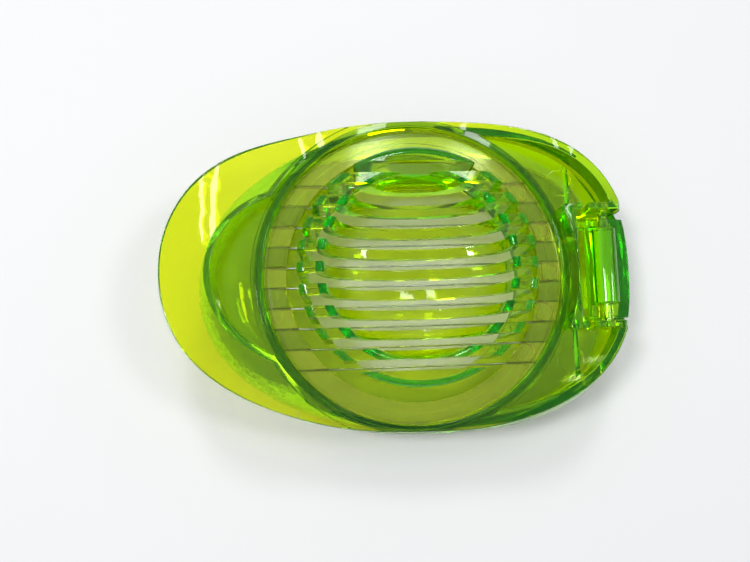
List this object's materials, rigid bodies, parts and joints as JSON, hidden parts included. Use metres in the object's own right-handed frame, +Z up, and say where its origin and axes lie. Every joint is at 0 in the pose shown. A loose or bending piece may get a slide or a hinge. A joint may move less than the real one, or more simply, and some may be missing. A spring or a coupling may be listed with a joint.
{
  "type": "egg slicer",
  "caption": "Hinged oval egg slicer: a clear base with a slotted round egg cup, and a wire-strung lid that swings up from a raised finger lip.",
  "frame": {"origin": "under the middle of the closed slicer, on the surface it stands on", "axes": "+X towards the hinge, -X towards the finger lip, +Y across, +Z up"},
  "size_m": [0.129, 0.0892, 0.0325],
  "materials": {
    "clear_green_plastic": "polished clear, tinted lime green",
    "clear_yellow_plastic": "polished clear, pale yellow",
    "stainless_wire": "drawn bright wire"
  },
  "bodies": {
    "base": {"base_body": "clear_green_plastic"},
    "lid": {"lid_frame": "clear_green_plastic", "wire_ring": "clear_yellow_plastic", "cutting_wire_1": "stainless_wire", "cutting_wire_2": "stainless_wire", "cutting_wire_3": "stainless_wire", "cutting_wire_4": "stainless_wire", "cutting_wire_5": "stainless_wire"}
  },
  "joints": [
    {"name": "lid_hinge", "type": "hinge", "parent": "base", "child": "lid", "pos_m": [0.0559, 0, 0.0225], "axis": [0, 1, 0], "range_deg": [0, 105]}
  ]
}
